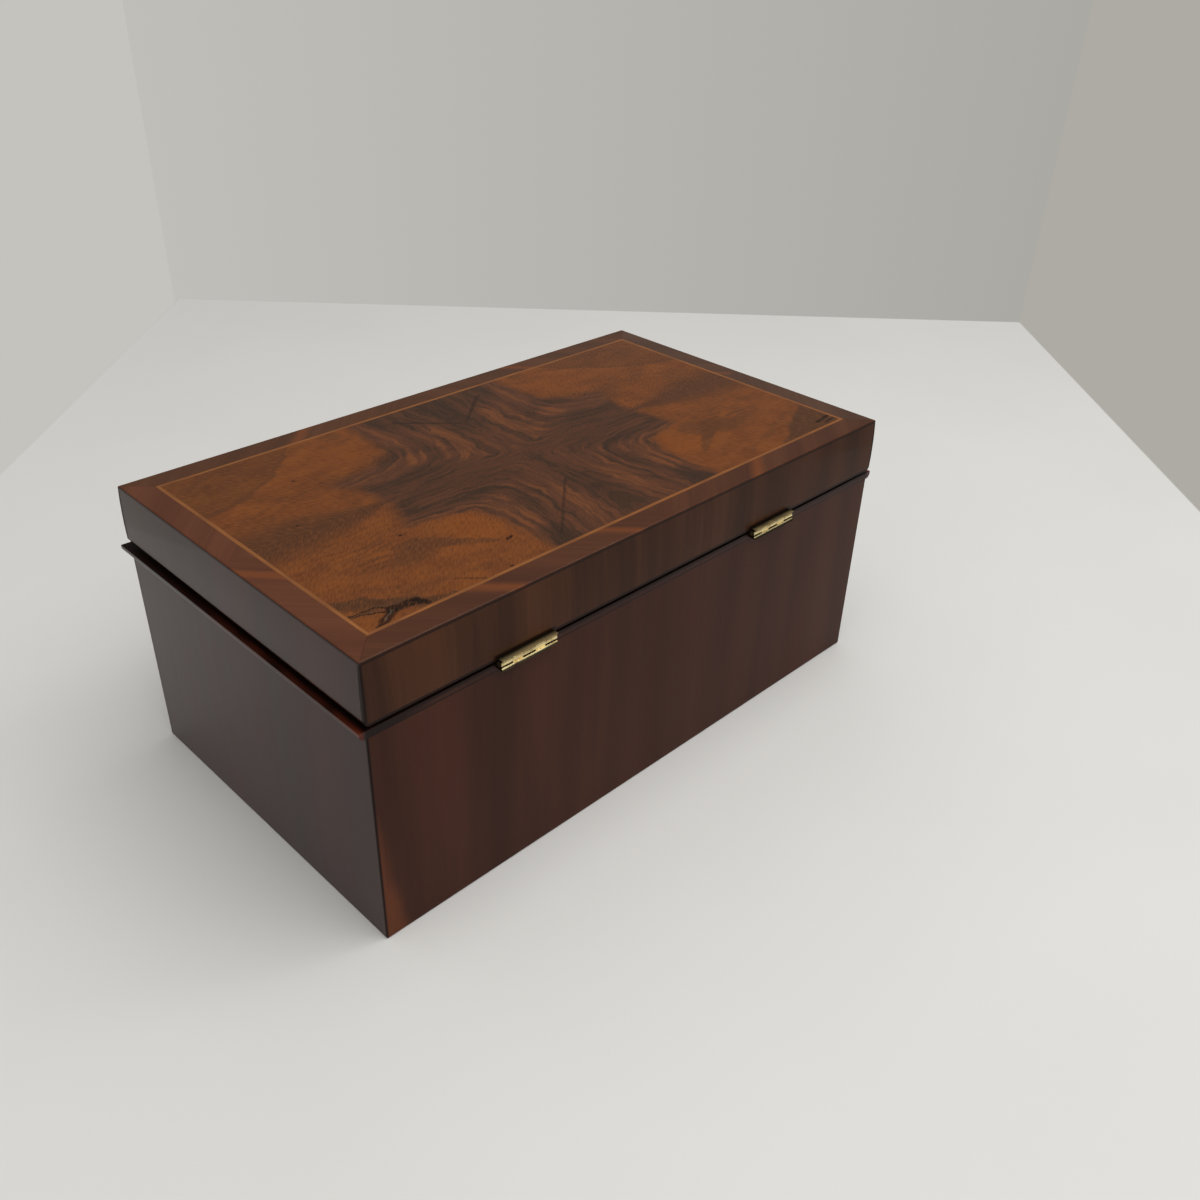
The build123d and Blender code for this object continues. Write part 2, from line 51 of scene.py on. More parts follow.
class Amount:
    """A number that varies over a surface. Arithmetic on it adds Math nodes to its finish."""

    def __init__(self, finish, socket):
        self.finish = finish
        self.socket = socket

    def __add__(self, other):
        return self.finish.math("ADD", self, other)

    def __radd__(self, other):
        return self.finish.math("ADD", other, self)

    def __sub__(self, other):
        return self.finish.math("SUBTRACT", self, other)

    def __rsub__(self, other):
        return self.finish.math("SUBTRACT", other, self)

    def __mul__(self, other):
        return self.finish.math("MULTIPLY", self, other)

    def __rmul__(self, other):
        return self.finish.math("MULTIPLY", other, self)

    def __truediv__(self, other):
        return self.finish.math("DIVIDE", self, other)

    def __pow__(self, other):
        return self.finish.math("POWER", self, other)

    def __abs__(self):
        return self.finish.math("ABSOLUTE", self)


class Finish:
    """A material on its way. Each method adds a node and gives back what comes out of it."""

    def __init__(self, name):
        self.material = bpy.data.materials.new(name)
        self.material.use_nodes = True
        self.tree = self.material.node_tree
        self.shader = self.tree.nodes["Principled BSDF"]

    def feed(self, socket, value):
        """Joins an amount or a socket to an input, or sets the input to a plain value."""
        if isinstance(value, Amount):
            value = value.socket
        if isinstance(value, bpy.types.NodeSocket):
            self.tree.links.new(value, socket)
        else:
            socket.default_value = value

    def node(self, kind, inputs, **settings):
        """Adds a node with these settings and feeds the inputs, by name or by number."""
        made = self.tree.nodes.new("ShaderNode" + kind)
        for setting, value in settings.items():
            setattr(made, setting, value)
        for which, value in inputs.items():
            self.feed(made.inputs[which], value)
        return made

    def math(self, operation, *values):
        """The outcome of one Math node."""
        made = self.node("Math", dict(enumerate(values)), operation=operation)
        return Amount(self, made.outputs[0])

    def most(self, first, second):
        return self.math("MAXIMUM", first, second)

    def least(self, first, second):
        return self.math("MINIMUM", first, second)

    def place(self):
        """The point's X, Y and Z in the box's own frame, in millimetres."""
        coordinates = self.node("TexCoord", {})
        scaled = self.node("VectorMath", {0: coordinates.outputs["Object"]}, operation="SCALE")
        scaled.inputs["Scale"].default_value = 1000
        parts = self.node("SeparateXYZ", {0: scaled.outputs[0]})
        return [Amount(self, output) for output in parts.outputs]

    def noise(self, x, y, z=0.0, detail=2.0, roughness=0.5):
        """Smooth noise about 0.5, one unit from bump to bump, read at this point."""
        point = self.node("CombineXYZ", {0: x, 1: y, 2: z})
        inputs = {
            "Vector": point.outputs[0],
            "Scale": 1.0,
            "Detail": detail,
            "Roughness": roughness,
        }
        return Amount(self, self.node("TexNoise", inputs).outputs[0])

    def step(self, value, low, high):
        """0 below low, 1 above high, with a smooth rise between. It falls if low is above high."""
        if low > high:
            return 1 - self.step(value, high, low)
        inputs = {"Value": value, "From Min": low, "From Max": high}
        made = self.node("MapRange", inputs, interpolation_type="SMOOTHSTEP")
        return Amount(self, made.outputs[0])

    def bell(self, value, middle, width):
        """1 where the value is at the middle, falling smoothly to 0 this far on either side."""
        return self.step(abs(value - middle), width, 0)

    def mix(self, share, first, second):
        """The first colour where the share is 0, the second where it is 1."""
        made = self.node("Mix", {0: share, 6: first, 7: second}, data_type="RGBA")
        return made.outputs[2]

    def relief(self, height, depth):
        """A bump of this many metres between the heights 0 and 1."""
        made = self.node("Bump", {"Height": height, "Distance": depth, "Strength": 1.0})
        self.feed(self.shader.inputs["Normal"], made.outputs[0])

    def surface(self, colour, roughness, **plain):
        """Sets the shader. The plain values are the same all over the surface."""
        self.feed(self.shader.inputs["Base Color"], colour)
        self.feed(self.shader.inputs["Roughness"], roughness)
        for name, value in plain.items():
            self.shader.inputs[name.replace("_", " ").title().replace("Ior", "IOR")].default_value = value
        return self.material


def tint(red, green, blue):
    """A colour for a shader, from what a screen shows, 0 to 255."""
    screen = np.array([red, green, blue]) / 255
    linear = np.where(screen > 0.04045, ((screen + 0.055) / 1.055) ** 2.4, screen / 12.92)
    return (*linear.tolist(), 1.0)


def dress(names, material):
    """Gives the CAD nodes of these names one finish."""
    for name in names:
        nodes[name].data.materials.clear()
        nodes[name].data.materials.append(material)


def planed_pine(name, lengthways):
    """Straight-grained softwood: soft rings across the board and long pale fibres along it."""
    finish = Finish(name)
    x, y, z = finish.place()
    along = x if lengthways == "X" else y
    across = y if lengthways == "X" else x
    sway = 3 * finish.noise(along / 90, across / 60, z / 60)
    rings = finish.noise((across + sway) / 5, along / 300, (z + sway) / 5, detail=3)
    fibres = finish.noise(across / 0.5, along / 30, z / 0.5)
    colour = finish.mix(finish.step(rings, 0.35, 0.7), tint(196, 160, 112), tint(163, 118, 72))
    colour = finish.mix(0.35 * fibres, colour, tint(120, 88, 55))
    finish.relief(fibres, 0.00005)
    return finish.surface(colour, 0.6 + 0.15 * rings)


dress(
    ["base_board", "front_board", "back_board", "lid_panel", "lid_front_rail", "lid_back_rail"],
    planed_pine("pine_lengthways", "X"),
)
dress(
    ["left_board", "right_board", "lid_left_rail", "lid_right_rail"],
    planed_pine("pine_crossways", "Y"),
)

# Side veneers. Sawn sheets of dark straight-grained walnut, 1 mm thick, glued to the four
# sides of the body and of the lid with the grain upright, stained and French-polished.
# They are black along the arrises and upright corners, and painted shade lies black in the
# joint above the rim and over the hinges.
polish_gloss = {"coat_roughness": 0.06, "coat_ior": 1.3, "specular_ior_level": 0.05}
half_length, half_depth = 150, 86
edge_and_shade_black = tint(20, 9, 7)
hinge_places = (78, -70.7)
housing_half, housing_top = 14.8, 106.4
# Below the lower of the lid's edges, on the lid's veneers, the black in the joint above the rim is
# painted shade.
body_edges, lid_edges = (-1, 98.9), (105.3, 129.3)


def side_walnut(name, coat, dark, pale, edges, light_corner=None, black_corner=None, hinges=False):
    """Upright walnut grain: broad tone bands, narrow streaks, fine fibres and short pores.

    The edges are the heights between which the sheet is clear of the black. On the lid's veneers,
    the black below the lower edge, in the joint above the rim, is painted shade. The light
    corner is the X where a streak of paler sapwood starts at the foot, narrower above. Past
    the black corner's X the wood is black. With hinges, painted shade also lies in a low patch
    over each of them.
    """
    finish = Finish(name)
    x, y, z = finish.place()
    across = x + y
    sway = 6 * finish.noise(across / 60, z / 130, 2.0)
    broad = finish.noise((across + sway) / 24, z / 260, 4.0, detail=1)
    streaks = finish.noise((across + sway) / 3.4, z / 150, 7.0, detail=3, roughness=0.6)
    fibres = finish.noise((across + sway) / 0.5, z / 26, 11.0, detail=1)
    pores = finish.step(finish.noise(across / 0.33, z / 3.2, 15.0), 0.62, 0.74)
    tone = 0.75 * broad + 0.25 * streaks
    colour = finish.mix(finish.step(tone, 0.3, 0.72), dark, pale)
    red = finish.step(finish.noise(across / 38, z / 400, 23.0), 0.5, 0.7)
    colour = finish.mix(0.5 * red, colour, tint(74, 32, 22))
    if light_corner:
        edge = x - 0.16 * z + 6 * (finish.noise(z / 22, 31.0) - 0.5) + 3 * (streaks - 0.5)
        sap = finish.step(edge, light_corner - 4, light_corner + 3)
        colour = finish.mix(0.7 * sap, colour, tint(108, 57, 31))
    colour = finish.mix(0.3 * fibres, colour, tint(40, 20, 14))
    colour = finish.mix(0.4 * pores, colour, tint(24, 12, 9))
    low, high = edges
    corners = finish.step(abs(x), half_length - 1.1, half_length - 0.3)
    corners = corners * finish.step(abs(y), half_depth - 1.6, half_depth - 0.5)
    # Black at the upright corners and past the edges; in the joint above the rim it is painted shade.
    edges_and_shade = finish.most(corners, finish.step(z, high, high + 0.5))
    edges_and_shade = finish.most(edges_and_shade, finish.step(z, low + 0.4, low))
    if black_corner:
        edges_and_shade = finish.most(edges_and_shade, finish.step(x, black_corner, black_corner + 30))
    # Painted shade: a black patch over each hinge housing.
    if hinges:
        for place in hinge_places:
            beside = finish.step(abs(x - place), housing_half + 0.8, housing_half)
            over = finish.step(z, housing_top + 0.6, housing_top)
            edges_and_shade = finish.most(edges_and_shade, beside * over)
    colour = finish.mix(0.9 * edges_and_shade, colour, edge_and_shade_black)
    ripple = finish.noise(across / 9, z / 30, 41.0, detail=1)
    finish.relief(ripple + 0.08 * fibres, 0.00004)
    return finish.surface(colour, 0.4 + 0.1 * streaks, coat_weight=coat, **polish_gloss)


body_walnut = {"dark": tint(53, 26, 17), "pale": tint(73, 39, 26), "edges": body_edges}
lid_walnut = {"dark": tint(44, 25, 15), "pale": tint(80, 47, 28), "edges": lid_edges}
dress(["back_veneer"], side_walnut("walnut_body_back", 0.22, light_corner=141, **body_walnut))
dress(["front_veneer"], side_walnut("walnut_body_front", 0.22, **body_walnut))
dress(["lid_back_veneer"], side_walnut("walnut_lid_back", 0.2, hinges=True, **lid_walnut))
dress(["lid_front_veneer"], side_walnut("walnut_lid_front", 0.25, **lid_walnut))
body_end_walnut = {"dark": tint(41, 13, 10), "pale": tint(59, 21, 15), "edges": body_edges}
lid_end_walnut = {"dark": tint(39, 17, 12), "pale": tint(63, 29, 18), "edges": lid_edges}
dress(["left_veneer", "right_veneer"], side_walnut("walnut_body_ends", 0.7, **body_end_walnut))
dress(["lid_left_veneer", "lid_right_veneer"], side_walnut("walnut_lid_ends", 0.8, **lid_end_walnut))

# Rim. A thumbnail moulding of solid walnut is mitred round the front and the ends, on top of the
# boards, and a flush strip of the same wood closes the back. Stained dark red, with painted shade
# black under the lid, and painted light making the ends redder towards the hinges.
painted_light_from, painted_light_to = -70, 85


def moulding_walnut(name, lengthways):
    """Long dark red grain that runs with the moulding, under a thick polish."""
    finish = Finish(name)
    x, y, z = finish.place()
    along = x if lengthways == "X" else y
    across = y if lengthways == "X" else x
    streaks = finish.noise(across / 1.6, z / 1.1, along / 70, detail=3)
    blotches = finish.noise(along / 18, across / 9, z / 9, detail=2)
    # Painted light: on the ends the moulding turns redder towards the hinges.
    painted_light = finish.step(along, painted_light_from, painted_light_to) if lengthways == "Y" else 0.5
    tone = painted_light * finish.step(0.6 * streaks + 0.4 * blotches, 0.34, 0.68)
    colour = finish.mix(tone, tint(26, 10, 7), tint(92, 37, 19))
    pores = finish.step(finish.noise(across / 0.3, z / 0.3, along / 3), 0.62, 0.75)
    colour = finish.mix(0.5 * pores, colour, tint(24, 10, 8))
    inside = half_depth if lengthways == "X" else half_length
    # Painted shade: black under the lid, inside the line of the body.
    shade_under_lid = finish.step(abs(across) + 1.6 * (blotches - 0.5), inside + 1.9, inside - 0.2)
    colour = finish.mix(0.9 * shade_under_lid, colour, tint(12, 5, 4))
    finish.relief(streaks, 0.00004)
    return finish.surface(colour, 0.35, coat_weight=0.6, **polish_gloss)


dress(["front_moulding"], moulding_walnut("moulding_lengthways", "X"))
dress(["left_moulding", "right_moulding"], moulding_walnut("moulding_crossways", "Y"))
# Above the strip's upper edge, under the lid, the black is painted shade.
strip_walnut = {"dark": tint(44, 22, 15), "pale": tint(62, 33, 23), "edges": (99.5, 101.2)}
dress(["back_edge_strip"], side_walnut("walnut_back_strip", 0.3, black_corner=112, **strip_walnut))

# Linings. Thin walnut boards, mitred at the corners, stand inside the body and rise above its
# rim as a lip that finds the lid. The lid has its own shallow set. Waxed, not polished.


def lining_walnut(name, lengthways):
    """Plain waxed walnut with long level grain."""
    finish = Finish(name)
    x, y, z = finish.place()
    along = x if lengthways == "X" else y
    sway = 4 * finish.noise(along / 80, z / 50, 3.0)
    streaks = finish.noise(along / 130, (z + sway) / 4.2, 6.0, detail=3, roughness=0.6)
    fibres = finish.noise(along / 22, z / 0.5, 9.0)
    colour = finish.mix(finish.step(streaks, 0.3, 0.72), tint(92, 60, 42), tint(137, 96, 66))
    pores = finish.step(finish.noise(along / 3, z / 0.35, 12.0), 0.6, 0.72)
    colour = finish.mix(0.3 * fibres + 0.3 * pores, colour, tint(58, 36, 26))
    finish.relief(fibres, 0.00005)
    return finish.surface(colour, 0.42 + 0.12 * streaks, coat_weight=0.12, coat_roughness=0.3)


lining_lengthways = lining_walnut("lining_lengthways", "X")
lining_crossways = lining_walnut("lining_crossways", "Y")
for level in ("", "lid_"):
    dress([f"{level}front_lining", f"{level}back_lining"], lining_lengthways)
    dress([f"{level}left_lining", f"{level}right_lining"], lining_crossways)

# Pads. Dark red cotton velvet drawn over thick card with a thin layer of wadding. One lies
# loose on the floor of the box, and the other is glued up inside the lid.
pad_columns = 180
pad_rows = 100


def velvet():
    """Short upright pile, brushed in soft patches, that lightens at its edges."""
    finish = Finish("red_velvet")
    x, y, z = finish.place()
    brushed = finish.noise(x / 40, y / 30, z / 30, detail=2, roughness=0.45)
    pile = finish.noise(x / 0.35, y / 0.35, z / 0.35, detail=2)
    colour = finish.mix(finish.step(brushed, 0.25, 0.75), tint(92, 18, 25), tint(122, 28, 35))
    colour = finish.mix(0.4 * pile, colour, tint(56, 9, 14))
    finish.relief(pile + 0.4 * brushed, 0.00025)
    plain = {"sheen_weight": 0.9, "sheen_roughness": 0.35, "sheen_tint": tint(190, 92, 92)}
    return finish.surface(colour, 0.9, specular_ior_level=0.15, **plain)


def pad_surface(node, up):
    """A crowned pad in the room of its CAD solid.

    Across each side the height is that of a superellipse, full over most of the pad and
    falling steeply near the edges, and slow waves in both directions lower it a little, as
    wadding does. The back is flat, and both faces share their edge.
    """
    low, high = (np.array(corner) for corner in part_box(node))
    middle = (low + high) / 2
    half = (high - low) / 2
    shoulder, power, crown, wave = 0.0035, 2.4, 0.30, 0.12
    u = np.linspace(-1, 1, pad_columns)
    v = np.linspace(-1, 1, pad_rows)
    across, along = np.meshgrid(u, v, indexing="ij")
    x = middle[0] + half[0] * across
    y = middle[1] + half[1] * along

    def rise(inward):
        """The superellipse's height, 0 to 1, this far in from an edge."""
        return (1 - (1 - np.clip(inward / shoulder, 0, 1)) ** power) ** (1 / power)

    rounded = rise(half[0] * (1 - abs(across))) * rise(half[1] * (1 - abs(along)))
    dome = (1 - crown) + crown * (1 - across**2) * (1 - along**2)
    waves = 1 - wave * (0.5 + 0.5 * np.sin(9 * across + 2 * along) * np.cos(7 * along - across))
    thickness = 2 * half[2] * rounded * dome * waves
    back = low[2] if up else high[2]
    way = 1 if up else -1
    face = np.stack([x, y, back + way * thickness], axis=-1).reshape(-1, 3)
    reverse = np.stack([x, y, np.full_like(x, back)], axis=-1).reshape(-1, 3)
    corner = np.arange((pad_columns - 1) * pad_rows).reshape(pad_columns - 1, pad_rows)[:, :-1]
    corner = corner.ravel()
    quads = np.stack([corner, corner + pad_rows, corner + pad_rows + 1, corner + 1], axis=-1)
    count = pad_columns * pad_rows
    facing = quads if up else quads[:, ::-1]
    faces = np.concatenate([facing, facing[:, ::-1] + count])
    mesh = bpy.data.meshes.new(node + "_cover")
    mesh.from_pydata(np.concatenate([face, reverse]).tolist(), [], faces.tolist())
    shell = bmesh.new()
    shell.from_mesh(mesh)
    bmesh.ops.remove_doubles(shell, verts=shell.verts, dist=1e-6)
    shell.to_mesh(mesh)
    shell.free()
    mesh.polygons.foreach_set("use_smooth", np.ones(len(mesh.polygons), bool))
    cover = bpy.data.objects.new(node + "_cover", mesh)
    bpy.context.scene.collection.objects.link(cover)
    return cover


pad_velvet = velvet()
for node, body, up in (("floor_pad", "box", True), ("lid_pad", "lid", False)):
    cover = pad_surface(node, up)
    cover.data.materials.append(pad_velvet)
    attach(cover, body)
    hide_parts(node)

# Crossbanding. Strips of walnut cut across the grain, 11 mm wide, are mitred round the edge of
# the lid. Their grain leans in towards the middle of each side, with a few paler patches.
band_inner = {"front": 75, "back": 75, "left": 139, "right": 139}
band_tones = {
    "front": (tint(76, 49, 34), tint(90, 58, 40)),
    "back": (tint(72, 44, 32), tint(86, 53, 36)),
    "left": (tint(74, 52, 40), tint(88, 62, 48)),
    "right": (tint(84, 50, 35), tint(98, 59, 41)),
}
pale_patches = {
    "front": [(72, 6), (-70, 5)],
    "back": [(92, 7), (28, 5), (-71, 7)],
    "left": [(-6, 4)],
    "right": [(22, 6)],
}


def crossband_walnut(side):
    """Feathered grain: streaks follow lines that lean 48 degrees as they cross the band."""
    finish = Finish(f"{side}_crossband_walnut")
    x, y, z = finish.place()
    lengthways = side in ("front", "back")
    along = x if lengthways else y
    outward = abs(y if lengthways else x) - band_inner[side]
    wobble = finish.noise(along / 9, outward / 5, z / 5) - 0.5
    lean = abs(along) + 1.1 * outward + 2.5 * wobble
    broad = finish.noise(lean / 16, along / 150, 5.0, detail=2)
    streaks = finish.noise(lean / 1.9, along / 60, 8.0, detail=3)
    tone = finish.step(0.62 * broad + 0.38 * streaks, 0.34, 0.68)
    dark, pale = band_tones[side]
    colour = finish.mix(tone, dark, pale)
    for place, width in pale_patches[side]:
        same_end = finish.step(along, -1, 1) if place > 0 else finish.step(along, 1, -1)
        patch = finish.bell(lean, abs(place), width) * same_end
        colour = finish.mix(0.55 * patch, colour, tint(124, 68, 34))
        rim = finish.bell(lean, abs(place) - width, 0.8) * same_end
        colour = finish.mix(0.35 * rim, colour, tint(58, 34, 27))
    fibres = finish.noise(lean / 0.4, along / 25, 12.0)
    colour = finish.mix(0.25 * fibres, colour, tint(56, 32, 24))
    mitre = finish.bell(abs(x) - half_length, abs(y) - half_depth, 0.25)
    edge = finish.step(z, 130.85, 130.5)
    colour = finish.mix(0.75 * finish.most(0.6 * mitre, edge), colour, edge_and_shade_black)
    finish.relief(finish.noise(x / 8, y / 8, z / 8), 0.00004)
    return finish.surface(colour, 0.4, coat_weight=0.3, **polish_gloss)


for side in ("front", "back", "left", "right"):
    dress([f"{side}_crossband"], crossband_walnut(side))

# Stringing. A 1.8 mm line of pale boxwood is let in between the crossbanding and the field and
# mitred at the corners. The old polish has turned it honey brown.
line_half = 0.9


def stringing_box(name, lengthways):
    """Close pale wood with faint long fibres and a dark glue line along both edges."""
    finish = Finish(name)
    x, y = finish.place()[:2]
    along, across = (x, y) if lengthways == "X" else (y, x)
    line_middle = band_inner["front" if lengthways == "X" else "left"] - line_half
    fibres = finish.noise(along / 18, across / 0.5, 3.0, detail=3)
    colour = finish.mix(finish.step(fibres, 0.3, 0.7), tint(116, 73, 40), tint(142, 90, 50))
    glue = finish.step(abs(abs(across) - line_middle), 0.5, 0.85)
    colour = finish.mix(0.6 * glue, colour, tint(80, 44, 26))
    worn = finish.noise(along / 30, 5.0, 9.0, detail=2)
    colour = finish.mix(0.6 * finish.step(worn, 0.4, 0.65), colour, tint(98, 60, 38))
    finish.relief(fibres, 0.00003)
    return finish.surface(colour, 0.4, coat_weight=0.3, **polish_gloss)


dress(["front_stringing", "back_stringing"], stringing_box("stringing_lengthways", "X"))
dress(["left_stringing", "right_stringing"], stringing_box("stringing_crossways", "Y"))

# Field of the lid. Four leaves cut one after another from the same stump of figured walnut are
# laid as mirror images about a level seam and an upright one, just right of the lid's middle.
# They are French-polished, with a forked black knot in one of them.
seam = 1.5
smoky = tint(84, 51, 31)
ink = tint(26, 19, 16)


def stroke(finish, x, y, start, end, start_width, end_width):
    """1 inside a tapered stroke between two points, in millimetres, with a soft edge."""
    run = (end[0] - start[0], end[1] - start[1])
    square = run[0] ** 2 + run[1] ** 2
    beyond = (x - start[0], y - start[1])
    share = (beyond[0] * run[0] + beyond[1] * run[1]) / square
    share = finish.least(finish.most(share, 0.0), 1.0)
    aside = (beyond[0] - share * run[0], beyond[1] - share * run[1])
    away = finish.math("SQRT", aside[0] * aside[0] + aside[1] * aside[1])
    width = start_width + share * (end_width - start_width)
    return finish.step(away / width, 1.15, 0.55)


def cloud(finish, x, y, middle, reach):
    """1 at the middle of a soft oval, falling to 0 at its reach on each side, in millimetres."""
    aside = (x - middle[0]) / reach[0]
    above = (y - middle[1]) / reach[1]
    return finish.step(aside * aside + above * above, 1.0, 0.0)


def figured_walnut():
    """Quarter-matched figure.

    A and B are the distances from the two seams, wandered by slow noise that is the same on
    the left and the right and differs between the back and the front. The lines of the figure
    are those of equal (A ** -3 + (2 * B) ** -3) ** (-1 / 3), so they stand upright, turn a
    tight corner near the level seam and run out along it. They lie in a cross with broad
    arms. Outside it are plain orange lobes, with smoky streaks that fall towards the corners.
    """
    finish = Finish("figured_walnut")
    x, y = finish.place()[:2]
    far, near = abs(x - seam), abs(y)
    back = finish.step(y, -0.3, 0.3)
    front = 1 - back
    right = finish.step(x, -2, 2)
    left = 1 - right
    leaves = {
        "all": 1,
        "back": back,
        "front": front,
        "back right": back * right,
        "back left": back * left,
    }
    cut = 7 * back
    own = finish.noise(x / 30, y / 30, 50.0, detail=1) - 0.5
    wander = finish.noise(far / 22, near / 22, 1 + cut, detail=1) - 0.5
    drift = finish.noise(far / 22, near / 22, 9 + cut, detail=1) - 0.5
    tremble = finish.noise(far / 4.5, near / 4.5, 17 + cut, detail=2) - 0.5
    ragged = finish.noise(far / 10, near / 10, 13 + cut, detail=2) - 0.5
    a = finish.most(far + 5 * own + 6 * wander + 5 * ragged + 2.2 * tremble, 0.3)
    b = finish.most(near + 4 * own + 5 * drift + 3 * ragged + 1.8 * tremble, 0.3)
    upright = finish.most(a - (0.05 + 0.13 * back) * finish.most(b - 40, 0.0), 0.3)
    rings = (upright ** -3 + (2 * b) ** -3) ** (-1 / 3)
    along = (b - a) / 40
    coarse = finish.noise(rings / 3.0, along, 21 + cut, detail=1) - 0.5
    fine = finish.noise(rings / 1.2, 1.7 * along, 25 + cut, detail=2) - 0.5
    veins = finish.noise(rings / 4.5, 1.3 * along, 29 + cut, detail=3) - 0.5
    broken = finish.step(finish.noise(rings / 9, (b - a) / 18, 33 + cut, detail=1), 0.32, 0.5)
    level = finish.step(b, 24, 12) * finish.step(a, 20, 40)
    tone = 0.42 + 1.2 * coarse + 1.2 * fine - 0.32 * finish.step(abs(veins), 0.045, 0.0)
    # Pale and dark lines: their leaf, strength, middle and width across the rings, and end in B
    for leaf, amount, middle, width, top in (
        ("back", 0.30, 20.8, 1.5, 46),
        ("back", -0.30, 22.9, 1.1, 60),
        ("back", 0.38, 25.2, 1.5, 90),
        ("back", -0.25, 27.6, 1.1, 62),
        ("back", 0.42, 36.8, 1.4, 58),
        ("back", -0.25, 38.9, 1.0, 56),
        ("back", 0.42, 41.0, 1.4, 56),
        ("back", 0.28, 45.0, 1.2, 90),
        ("front", 0.35, 16.6, 4.2, 49),
        ("front", -0.40, 20.6, 1.2, 54),
        ("front", 0.42, 23.2, 1.9, 52),
        ("front", -0.30, 29.5, 4.5, 90),
        ("front", 0.30, 36.5, 1.7, 90),
        ("front", 0.30, 41.4, 1.6, 90),
    ):
        shown = finish.bell(rings, middle, width) * finish.step(b, top + 4, top - 4) * (1 - 0.6 * level)
        tone = tone + amount * leaves[leaf] * shown * broken
    # Pale and dark clouds: their leaf, strength, and middle and reach in A and B
    for leaf, amount, middle, reach in (
        ("all", -0.45, (0, 62), (11, 50)),
        ("back", 0.45, (15.5, 53), (8, 26)),
        ("back", 0.30, (40, 36), (10, 20)),
        ("back", -0.30, (31, 34), (6, 24)),
        ("back", -0.60, (41, 70), (11, 16)),
        ("back", -0.35, (42, 17.5), (17, 6)),
        ("back", -0.30, (61, 16.5), (15, 5)),
        ("back", -0.35, (72, 12), (9, 9)),
        ("back", -0.15, (42, 5), (38, 8)),
        ("front", 0.50, (16.5, 34), (6, 24)),
        ("front", 0.40, (24, 16), (7, 6)),
        ("front", 0.50, (41, 26), (10, 8)),
        ("front", -0.25, (22, 70), (20, 20)),
        ("front", -0.60, (50, 38), (11, 14)),
        ("front", 0.30, (39, 62), (8, 26)),
        ("front", -0.30, (48, 13), (18, 6)),
        ("front", -0.30, (67, 11.5), (13, 6)),
        ("front", -0.20, (40, 6), (38, 8)),
        ("front", 0.15, (68, 26), (18, 10)),
    ):
        tone = tone + amount * leaves[leaf] * cloud(finish, a, b, middle, reach)
    colour = finish.mix(finish.step(tone, -0.25, 0.5), tint(57, 41, 31), tint(79, 50, 36))
    colour = finish.mix(finish.step(tone, 0.35, 1.15), colour, tint(103, 62, 38))

    slant = b + 0.36 * a
    smoke = finish.noise(slant / 9, (a - 0.36 * b) / 62, 41 + cut, detail=3, roughness=0.55) - 0.5
    mottle = finish.noise(a / 16, b / 11, 45 + cut, detail=3)
    ground = finish.mix(finish.step(mottle, 0.35, 0.65), tint(113, 64, 31), tint(101, 57, 30))
    ground = finish.mix(0.55 * finish.step(smoke, 0.02, 0.22), ground, smoky)
    glow = back * cloud(finish, a, b, (60, 40), (17, 17))
    glow = glow + 0.6 * front * cloud(finish, a, b, (64, 50), (18, 14))
    ground = finish.mix(0.75 * glow, ground, tint(118, 65, 28))
    band = finish.least(4 + 0.34 * finish.most(a - 80, 0.0), 18.0)
    seam_smoke = finish.step((b + 8 * smoke) / band, 1.25, 0.2)
    ground = finish.mix(0.95 * seam_smoke, ground, tint(79, 49, 32))
    back_fall = b + 4 * smoke - 47 + 0.62 * (a - 137)
    front_fall = b + 4 * smoke - 37 - 0.01 * (a - 136) * (a - 136)
    shade = 0.9 * leaves["back right"] * finish.step(back_fall, 0, 2.5) * finish.step(back_fall, 13, 7)
    shade = shade + 0.9 * leaves["back left"] * finish.step(back_fall, -1, 3)
    shade = shade + 0.4 * front * finish.step(front_fall, -1.5, 2)
    shade = shade + 0.35 * front * finish.bell(front_fall, 0.5, 2.2)
    ground = finish.mix(shade, ground, tint(72, 47, 31))
    tail_x, tail_y = far + 5 * tremble, near + 5 * tremble
    wisp = finish.step(finish.noise(a / 16, b / 1.5, 61 + cut, detail=2), 0.46, 0.6)
    # Smoky marks on the orange wood: their leaf, share and shape
    for leaf, amount, mark in (
        ("back", 0.7, stroke(finish, tail_x, tail_y, (62, 54), (75, 44), 1.6, 3.6)),
        ("back", 0.8, stroke(finish, tail_x, tail_y, (74, 44), (87, 36), 3.4, 6.0)),
        ("back", 0.8, cloud(finish, a, b, (93, 41), (13, 8))),
        ("back", 0.7, cloud(finish, a, b, (97, 36), (22, 15)) * wisp),
        ("back left", 0.7, cloud(finish, a, b, (77, 33), (12, 9))),
        ("front", 0.7, cloud(finish, a, b, (76, 26), (14, 10))),
        ("front", 0.6, cloud(finish, a, b, (92, 32), (20, 7)) * wisp),
        ("front", 0.6, cloud(finish, a, b, (57, 72), (7, 8))),
        ("front", 0.6, cloud(finish, a, b, (58, 29), (15, 11))),
        ("all", 0.35, cloud(finish, a, b, (104, 24), (40, 26)) * wisp),
    ):
        ground = finish.mix(amount * leaves[leaf] * mark, ground, smoky)
    across = a / (44.5 + 4 * back)
    above = b / (27 - 6 * back)
    outline = (across ** -3 + above ** -3) ** (-1 / 3) + 0.12 * smoke + 0.10 * fine
    run_out = a + 7 * smoke - 0.25 * b + 5 * left
    figure = finish.step(outline, 1.06, 0.92) * finish.step(run_out, 80, 71)
    colour = finish.mix(figure, ground, colour)

